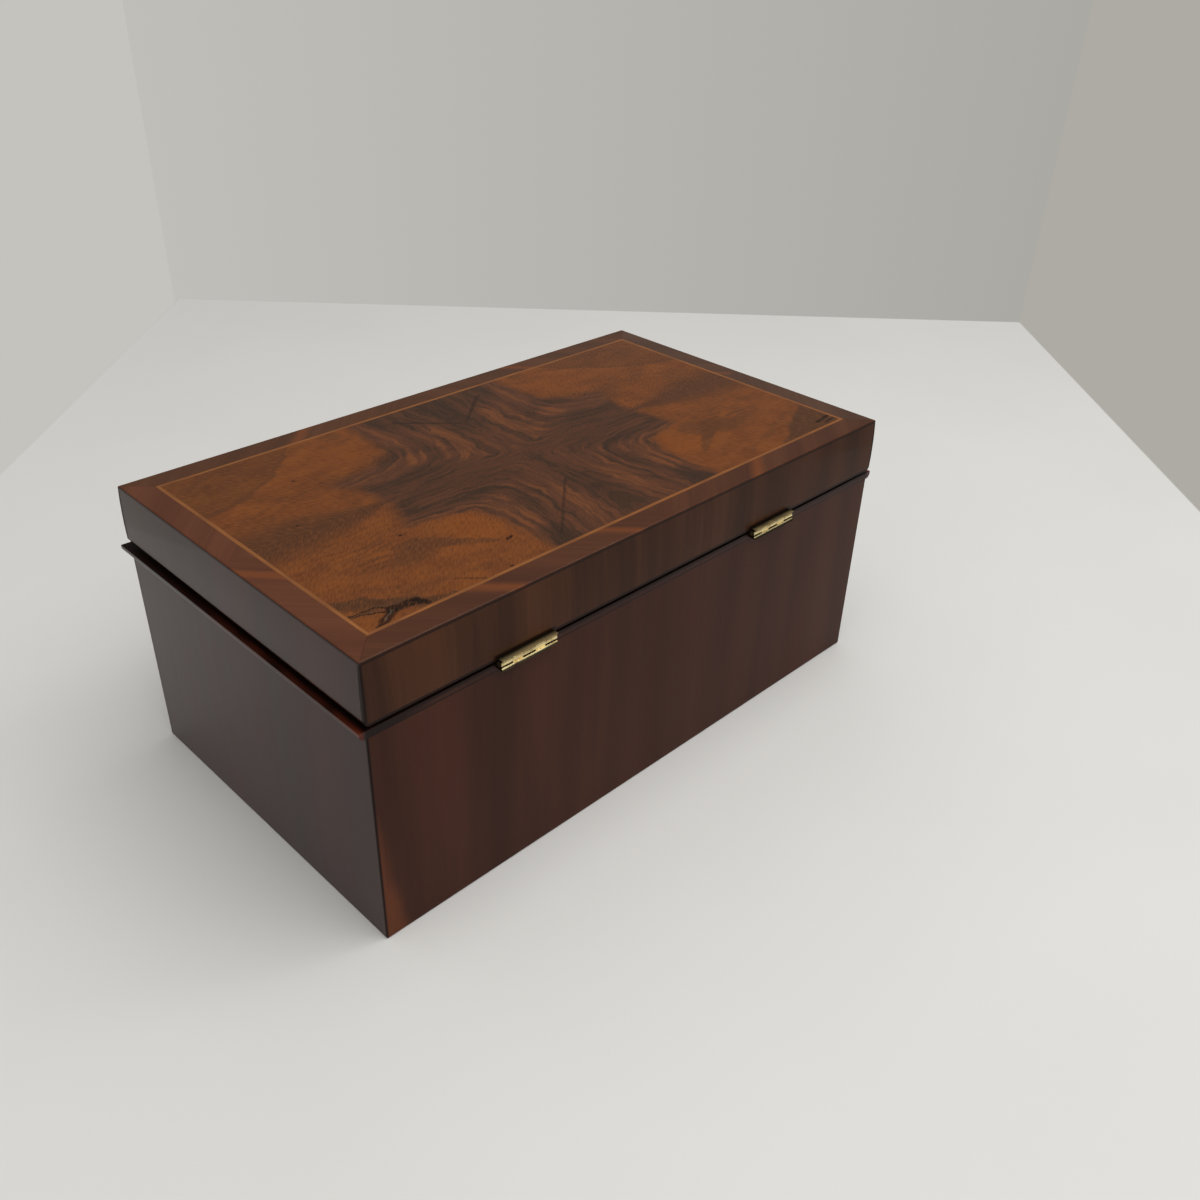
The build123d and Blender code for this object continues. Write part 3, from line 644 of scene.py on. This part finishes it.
    # Splits that run outwards: their leaf, share, ends beside the seams, and outer width
    split_x, split_y = far + 1.2 * tremble, near + 1.2 * tremble
    for leaf, amount, start, end, width in (
        ("back right", 0.55, (5, 32), (39, 66), 0.9),
        ("back left", 0.30, (5, 32), (30, 62), 0.9),
        ("front", 0.65, (2, 43), (25, 63), 1.5),
    ):
        split = stroke(finish, split_x, split_y, start, end, 0.6, width)
        colour = finish.mix(amount * leaves[leaf] * split, colour, tint(44, 33, 26))
    rough_x = x + 1.8 * (finish.noise(x / 3.0, y / 3.0, 71.0, detail=1) - 0.5)
    rough_y = y + 1.8 * (finish.noise(x / 3.0, y / 3.0, 75.0, detail=1) - 0.5)
    bark = stroke(finish, rough_x, rough_y, (112, 66), (136, 62), 3.2, 1.6)
    colour = finish.mix(0.55 * bark, colour, tint(78, 52, 36))
    crack = stroke(finish, rough_x, rough_y, (94, 65), (85, 73), 0.6, 1.0)
    colour = finish.mix(0.5 * crack, colour, tint(58, 36, 26))
    # The forked knot, and small marks like it: their ends and the widths there
    for start, end, start_width, end_width in (
        ((132.5, 74), (123, 67.5), 2.0, 2.4),
        ((123, 67), (113, 68), 2.5, 2.7),
        ((113, 68), (110.8, 71.5), 2.3, 1.5),
        ((122, 66), (127, 62), 1.0, 0.5),
        ((127, 62), (137, 61.3), 0.5, 0.4),
        ((124, 68), (131, 63.6), 0.7, 0.4),
        ((131, 63.6), (137, 62.4), 0.4, 0.4),
        ((-126, 68.5), (-137, 67), 0.9, 1.2),
        ((-128, 71.5), (-137, 70.5), 0.6, 0.8),
        ((60, 56), (57, 55), 0.9, 0.5),
    ):
        knot = stroke(finish, rough_x, rough_y, start, end, start_width, end_width)
        colour = finish.mix(0.85 * knot, colour, ink)
    # Painted highlight: a grey glint inside the knot's thickest arm.
    glint = stroke(finish, rough_x, rough_y, (128.5, 71), (123.5, 67.5), 0.4, 0.5)
    colour = finish.mix(0.4 * glint, colour, tint(96, 90, 76))
    for pin in ((94, -42), (114, -7), (89, 26), (72, 72.5), (-66, -30)):
        dot = stroke(finish, x, y, pin, (pin[0] + 0.3, pin[1]), 0.75, 0.75)
        colour = finish.mix(0.8 * dot, colour, ink)

    hatch = finish.noise((far - near) / 0.8, (far + near) / 5, 81.0, detail=1) - 0.5
    shown = 1 - 0.7 * figure
    colour = finish.mix(0.3 * finish.step(hatch, 0.02, 0.16) * shown, colour, tint(60, 34, 20))
    colour = finish.mix(0.2 * finish.step(hatch, -0.02, -0.16) * shown, colour, tint(140, 84, 44))
    joint = finish.most(finish.bell(x, seam, 0.2), finish.bell(y, 0, 0.2))
    colour = finish.mix(0.4 * joint, colour, ink)
    finish.relief(0.6 * finish.noise(x / 8, y / 8, 91.0) - 0.35 * hatch, 0.00004)
    return finish.surface(colour, 0.4, coat_weight=0.3, **polish_gloss)


dress(
    ["front_left_field", "front_right_field", "back_left_field", "back_right_field"],
    figured_walnut(),
)

# Hinges. Two brass stop hinges are let into the back edge, with five knuckles on a pin and
# flanges that meet behind it when the lid stands open. Rubbed bright where a hand reaches them,
# and black with painted shade and some tarnish against the wood, between the flanges and round
# the lid's knuckles.
pin_y, pin_z, knuckle_radius = 87.6, 103.1, 1.2
leaf_gap, leaf_thickness = 1.3, 1.0
knuckle_pitch, hinge_half = 5.64, 14.1


def worn_brass_and_shade(name, bright, dull, roughness, hinge=False):
    """Yellow brass with fine drawn lines and a thin brown tarnish in patches.

    A hinge is also black above and below its leaves, in the gap between them except over the
    body's knuckles, in the creases of the lid's knuckles, and at its two ends: painted shade,
    with some tarnish.
    """
    finish = Finish(name)
    x, y, z = finish.place()
    patches = finish.noise(x / 3.5, y / 3.5, z / 3.5, detail=4, roughness=0.6)
    lines = finish.noise(x / 9, y / 0.3, z / 0.3, detail=2)
    tarnish = finish.step(patches + 0.3 * (lines - 0.5), 0.5, 0.78)
    colour = finish.mix(0.6 * tarnish + 0.35 * finish.step(lines, 0.5, 0.7), bright, dull)
    # Painted shade, with some tarnish: black against the wood, between the leaves, in the creases and at
    # the ends.
    if hinge:
        out, up = y - pin_y, z - pin_z
        radius = finish.math("SQRT", out * out + up * up)
        barrel = finish.step(radius, knuckle_radius + 0.12, knuckle_radius + 0.02)
        from_middle = finish.least(abs(x - hinge_places[0]), abs(x - hinge_places[1]))
        body_knuckles = finish.bell(from_middle, knuckle_pitch, 0.5 * knuckle_pitch)
        lid_knuckles = finish.step(body_knuckles, 0.12, 0.0)
        outer = leaf_gap + leaf_thickness
        above = finish.step(up, outer - 0.5, outer - 0.1) * finish.step(out, 1.6, -0.7)
        below = finish.step(up, 0.7 - outer, 0.5 - outer) * finish.step(out, -1.0, -0.7)
        between = finish.step(abs(up), leaf_gap + 0.3, leaf_gap + 0.1) * (1 - barrel)
        between = between * finish.step(out, -2.0, -1.4) * finish.step(out, 1.15, 0.95)
        between = between * finish.most(lid_knuckles, finish.step(up, -0.1, 0.1))
        crease = 0.75 * finish.step(up, 0.62, 0.85) + finish.step(up, -0.5, -0.62)
        crease = crease * barrel * lid_knuckles * finish.step(out, 0.1, 0.4)
        black = finish.step(from_middle, hinge_half - 0.15, hinge_half - 0.02)
        for place in (above, below, between, crease):
            black = finish.most(black, place)
        colour = finish.mix(0.95 * black, colour, tint(22, 14, 8))
    finish.relief(lines, 0.000006)
    return finish.surface(colour, roughness + 0.2 * tarnish, metallic=1.0)


hinge_brass = worn_brass_and_shade("hinge_brass", tint(255, 236, 178), tint(150, 112, 60), 0.36, hinge=True)
for hand in ("left", "right"):
    dress([f"{hand}_hinge_body_leaf", f"{hand}_hinge_lid_leaf", f"{hand}_hinge_pin"], hinge_brass)

# Lock. A brass plate with its selvedge is let into the inside of the front board, with an iron
# case behind it, a sliding two-hook bolt, and a link plate with two eyes in the lid's rail.


def filed_iron():
    """Grey iron with file marks along it and a few brown spots."""
    finish = Finish("filed_iron")
    x, y, z = finish.place()
    marks = finish.noise(x / 6, y / 0.2, z / 0.2, detail=2)
    spots = finish.step(finish.noise(x / 2, y / 2, z / 2, detail=3), 0.6, 0.72)
    colour = finish.mix(marks, tint(120, 118, 116), tint(156, 154, 150))
    colour = finish.mix(0.6 * spots, colour, tint(92, 66, 48))
    finish.relief(marks, 0.00002)
    return finish.surface(colour, 0.36 + 0.2 * marks, metallic=1.0)


lock_brass = worn_brass_and_shade("lock_brass", tint(206, 172, 104), tint(110, 84, 46), 0.3)
dress(["lock_plate", "link_plate"], lock_brass)
dress(["lock_bolt", "lock_case"], filed_iron())

# Screws. Slotted brass wood screws with countersunk heads hold the hinge leaves, the lock and
# the link plate. They are turned, and their slots are cut with a saw.
screw_sides = 48


def slotted_screws(node, body, places, radius, head, length, material):
    """Wood screws turned about their own axes, in place of a plain CAD group.

    The head's flat top is a grid across the slot: six points on each chord, two at the rim,
    two at the slot's lips and two at its floor. The flank, shank and point are rings of the
    profile, each ring the head's outline scaled to its radius.
    """
    slot_half, slot_depth, point = 0.12 * head, 0.25 * head, 0.3 * length
    turn = np.linspace(0, np.pi, screw_sides // 2 + 1)
    chord_x = head * np.cos(turn)
    chord_y = head * np.sin(turn)
    lip = np.minimum(chord_y, slot_half)
    sink = np.where(chord_y > slot_half * 0.999, -slot_depth, 0)
    rows = [(-chord_y, 0 * sink), (-lip, 0 * sink), (-lip, sink), (lip, sink), (lip, 0 * sink)]
    rows.append((chord_y, 0 * sink))
    top = np.array([np.stack([chord_x, y, z], axis=-1) for y, z in rows])
    count = len(turn)
    start = (np.arange(len(rows) - 1)[:, None] * count + np.arange(count - 1)).ravel()
    top_faces = np.stack([start, start + 1, start + count + 1, start + count], axis=-1)
    circle = np.linspace(0, 2 * np.pi, screw_sides, endpoint=False)
    profile = [(head, 0), (radius, radius - head), (radius, point - length), (0.05 * radius, -length)]
    rings = np.array(
        [np.stack([r * np.cos(circle), r * np.sin(circle), 0 * circle + z], -1) for r, z in profile]
    )
    ring = np.arange(screw_sides)
    following = (ring + 1) % screw_sides
    flank = [
        np.stack([ring, ring + screw_sides, following + screw_sides, following], -1) + first
        for first in screw_sides * np.arange(len(profile) - 1)
    ]
    one = np.concatenate([top.reshape(-1, 3), rings.reshape(-1, 3)]) / 1000
    shape = np.concatenate([top_faces, np.concatenate(flank) + top.shape[0] * count])
    points, faces = [], []
    for number, (origin, inward, twist) in enumerate(places):
        inward = np.array(inward, float)
        side = np.cross(inward, [0.0, 0.0, 1.0] if abs(inward[2]) < 0.5 else [0.0, 1.0, 0.0])
        other = np.cross(-inward, side)
        across = np.cos(twist) * side + np.sin(twist) * other
        axes = np.stack([across, np.cross(-inward, across), -inward])
        points.append(one @ axes + np.array(origin) / 1000)
        faces.append(shape + number * len(one))
    mesh = bpy.data.meshes.new(node + "_slotted")
    mesh.from_pydata(np.concatenate(points).tolist(), [], np.concatenate(faces).tolist())
    shell = bmesh.new()
    shell.from_mesh(mesh)
    bmesh.ops.remove_doubles(shell, verts=shell.verts, dist=1e-6)
    bmesh.ops.recalc_face_normals(shell, faces=shell.faces)
    shell.to_mesh(mesh)
    shell.free()
    made = bpy.data.objects.new(node + "_slotted", mesh)
    bpy.context.scene.collection.objects.link(made)
    made.data.materials.append(material)
    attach(made, body)
    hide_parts(node)
    return made


hinge_screw = {"radius": 1.0, "head": 1.9, "length": 8.5, "material": lock_brass}
hinge_spacing, hinge_screw_line = 9.5, 81.8
for node, body, level, way in (
    ("body_hinge_screws", "box", pin_z - leaf_gap, -1),
    ("lid_hinge_screws", "lid", pin_z + leaf_gap, 1),
):
    places = [
        ((centre + step * hinge_spacing, hinge_screw_line, level), (0, 0, way), 0.4 + centre + 2 * step)
        for centre in hinge_places
        for step in (-1, 0, 1)
    ]
    slotted_screws(node, body, places, **hinge_screw)
lock_screw = {"radius": 0.8, "head": 1.4, "length": 6.0, "material": lock_brass}
plate_face = -77.0
plate_places = [
    ((x, plate_face, z), (0, -1, 0), 0.2 * x + 0.1 * z)
    for x in (-13.1, 13.1)
    for z in (80.2, 96.2)
]
slotted_screws("lock_screws", "box", plate_places, **lock_screw)
link_screw_line, link_face = -80.6, 104.4
link_places = [((x, link_screw_line, link_face), (0, 0, 1), 0.3 * x) for x in (-11.2, 11.2)]
slotted_screws("link_screws", "lid", link_places, **lock_screw)

# Studio. A white sheet of board lies on the ground between three pale grey cards, whose seams
# run outwards from its far corners. A broad lamp hangs overhead, a little towards the hinges,
# with a weak one to its left, and the sky fills in. The camera is off the near back corner.
sheet_edges = {"left": -367, "right": 442, "far": -605}
seams = {"left": ((-159, -678), (-0.4161, -0.9093)), "right": ((-753, -121), (-0.9143, -0.4050))}


def studio_floor():
    """White inside three straight edges, turned 45 degrees to the box, and plain grey beyond.

    The cards glow in their tones to the eye and in reflections, however far away. These tones are
    painted light and shade: light on the left card, dark on the right one, and shading from light
    to dark across the far one.
    """
    finish = Finish("studio_floor")
    x, y = finish.place()[:2]
    diagonal = 0.7071
    sideways = (y - x) * diagonal
    away = (x + y) * diagonal
    inside = finish.step(sideways, sheet_edges["left"] - 1, sheet_edges["left"] + 1)
    inside = inside * finish.step(sideways, sheet_edges["right"] + 1, sheet_edges["right"] - 1)
    inside = inside * finish.step(away, sheet_edges["far"] - 1, sheet_edges["far"] + 1)
    past = {}
    for side, ((corner_x, corner_y), (run_x, run_y)) in seams.items():
        past[side] = (y - corner_y) * run_x - (x - corner_x) * run_y
    from_left = finish.most(-1 * past["left"], 0.0)
    from_right = finish.most(past["right"], 1.0)
    middle = from_left / (from_left + from_right)
    # Painted shade across the far card, light at its left seam and dark at its right one.
    card = finish.mix(middle, tint(191, 190, 185), tint(171, 169, 163))
    card = finish.mix(finish.step(past["left"], -1, 1), card, tint(196, 195, 189))
    card = finish.mix(finish.step(past["right"], 1, -1), card, tint(174, 171, 164))
    dust = finish.noise(x / 160, y / 160, 1.0, detail=4)
    white = finish.mix(dust, tint(206, 204, 200), tint(213, 211, 208))
    finish.surface(finish.mix(inside, card, white), 0.7, specular_ior_level=0.1)
    rays = finish.node("LightPath", {})
    seen = finish.most(rays.outputs["Is Camera Ray"], rays.outputs["Is Glossy Ray"])
    seen = finish.most(seen, rays.outputs["Is Transmission Ray"])
    shown = finish.node("Emission", {"Color": card, "Strength": 1.0})
    choice = {0: seen * (1 - inside), 1: finish.shader.outputs[0], 2: shown.outputs[0]}
    both = finish.node("MixShader", choice)
    finish.feed(finish.tree.nodes["Material Output"].inputs["Surface"], both.outputs[0])
    return finish.material


floor_half = 20.0
ground = bpy.data.meshes.new("studio_floor")
floor_corners = [(x * floor_half, y * floor_half, 0) for x, y in ((-1, -1), (1, -1), (1, 1), (-1, 1))]
ground.from_pydata(floor_corners, [], [(0, 1, 2, 3)])
floor = bpy.data.objects.new("studio_floor", ground)
floor.data.materials.append(studio_floor())
bpy.context.scene.collection.objects.link(floor)

sky = bpy.data.worlds.new("studio_sky")
sky.use_nodes = True
bpy.context.scene.world = sky
tree = sky.node_tree
light = tree.nodes["Background"]
light.inputs["Color"].default_value = (1.0, 1.0, 0.985, 1.0)
light.inputs["Strength"].default_value = 0.52
seen = tree.nodes.new("ShaderNodeBackground")
seen.inputs["Color"].default_value = tint(191, 190, 185)
direction = tree.nodes.new("ShaderNodeTexCoord")
height = tree.nodes.new("ShaderNodeSeparateXYZ")
fall = tree.nodes.new("ShaderNodeMapRange")
fall.interpolation_type = "SMOOTHSTEP"
for name, value in {"From Min": 0.12, "From Max": 0.44, "To Min": 1.0, "To Max": 0.1}.items():
    fall.inputs[name].default_value = value
rays = tree.nodes.new("ShaderNodeLightPath")
either = tree.nodes.new("ShaderNodeMath")
either.operation = "MAXIMUM"
any_ray = tree.nodes.new("ShaderNodeMath")
any_ray.operation = "MAXIMUM"
both = tree.nodes.new("ShaderNodeMixShader")
tree.links.new(direction.outputs["Generated"], height.inputs[0])
tree.links.new(height.outputs["Z"], fall.inputs["Value"])
tree.links.new(fall.outputs[0], seen.inputs["Strength"])
tree.links.new(rays.outputs["Is Camera Ray"], either.inputs[0])
tree.links.new(rays.outputs["Is Glossy Ray"], either.inputs[1])
tree.links.new(either.outputs[0], any_ray.inputs[0])
tree.links.new(rays.outputs["Is Transmission Ray"], any_ray.inputs[1])
tree.links.new(any_ray.outputs[0], both.inputs[0])
tree.links.new(light.outputs[0], both.inputs[1])
tree.links.new(seen.outputs[0], both.inputs[2])
tree.links.new(both.outputs[0], tree.nodes["World Output"].inputs["Surface"])

for name, place, size, watts in (
    ("overhead_lamp", (-0.05, 0.5, 1.35), 1.5, 16.5),
    ("side_lamp", (-1.0, 0.55, 1.35), 0.35, 2.0),
):
    lamp = bpy.data.lights.new(name, "AREA")
    lamp.shape = "SQUARE"
    lamp.size = size
    lamp.energy = watts
    hung = bpy.data.objects.new(name, lamp)
    hung.location = place
    hung.rotation_euler = (-Vector(place)).to_track_quat("-Z", "Y").to_euler()
    bpy.context.scene.collection.objects.link(hung)

camera_data = bpy.data.cameras.new("camera")
camera_data.sensor_width = 36.0
camera_data.lens = 34.077
camera = bpy.data.objects.new("camera", camera_data)
camera.location = (0.31162, 0.35048, 0.34754)
camera.rotation_euler = tuple(math.radians(turn) for turn in (57.749, -1.611, 135.067))
bpy.context.scene.collection.objects.link(camera)
bpy.context.scene.camera = camera
bpy.context.scene.view_settings.view_transform = "Standard"
